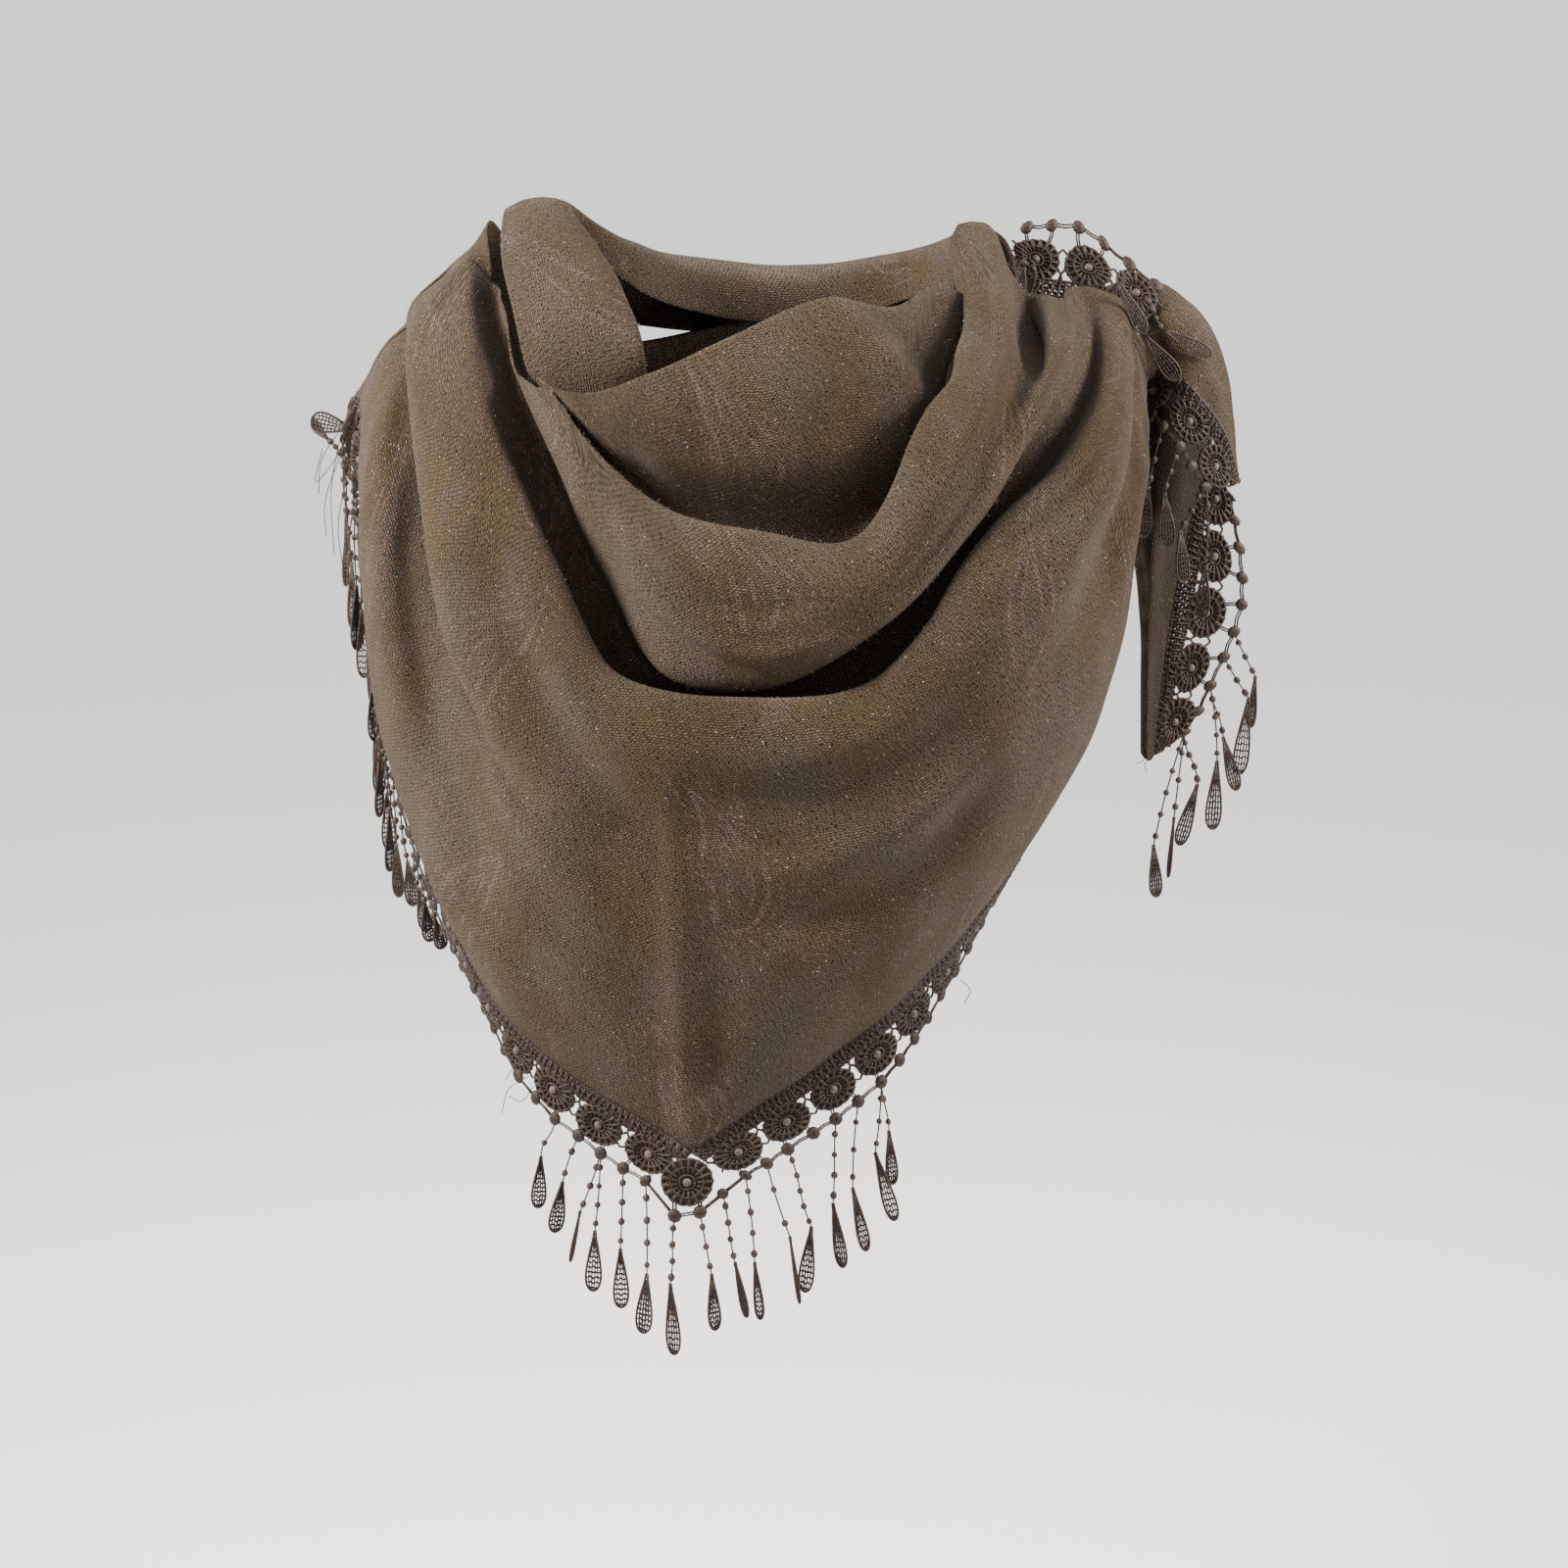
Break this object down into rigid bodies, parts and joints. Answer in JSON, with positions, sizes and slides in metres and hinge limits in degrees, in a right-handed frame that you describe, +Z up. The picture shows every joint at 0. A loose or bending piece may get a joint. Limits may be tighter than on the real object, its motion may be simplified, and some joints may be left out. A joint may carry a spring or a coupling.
{
  "type": "triangle scarf",
  "caption": "Triangle scarf worn as a cowl round an open neck, its point down the chest and its ends crossed behind, with a lace edge and hanging bead drops.",
  "frame": {"origin": "centre of the base of the neck, where the scarf rests round the wearer's neck", "axes": "+Z up along the neck, -Y towards the wearer's front and the scarf's point, +X towards the wearer's left shoulder, over which the free end comes forward"},
  "size_m": [0.4898, 0.3053, 0.5341],
  "materials": {
    "brushed_twill": "soft brushed wool-like twill with a fine short nap, matt",
    "guipure_lace": "dark brown corded lace with bead strings and netted drops, slightly silky"
  },
  "bodies": {
    "root": {"cloth_front": "brushed_twill", "cloth_collar": "brushed_twill", "cloth_back": "brushed_twill", "cloth_back_under": "brushed_twill", "cloth_tail": "brushed_twill", "cloth_tail_end": "brushed_twill", "lace_front_left": "guipure_lace", "lace_front_right": "guipure_lace", "lace_back": "guipure_lace", "lace_back_under": "guipure_lace", "lace_tail": "guipure_lace", "lace_tail_end": "guipure_lace", "lace_shoulder": "guipure_lace", "fringe_side_left": "guipure_lace", "fringe_front_left": "guipure_lace", "fringe_front_right": "guipure_lace", "fringe_side_right": "guipure_lace", "fringe_back": "guipure_lace", "fringe_back_under": "guipure_lace", "fringe_tail": "guipure_lace", "fringe_tail_end": "guipure_lace", "fringe_shoulder": "guipure_lace", "fringe_collar": "guipure_lace"}
  },
  "joints": []
}
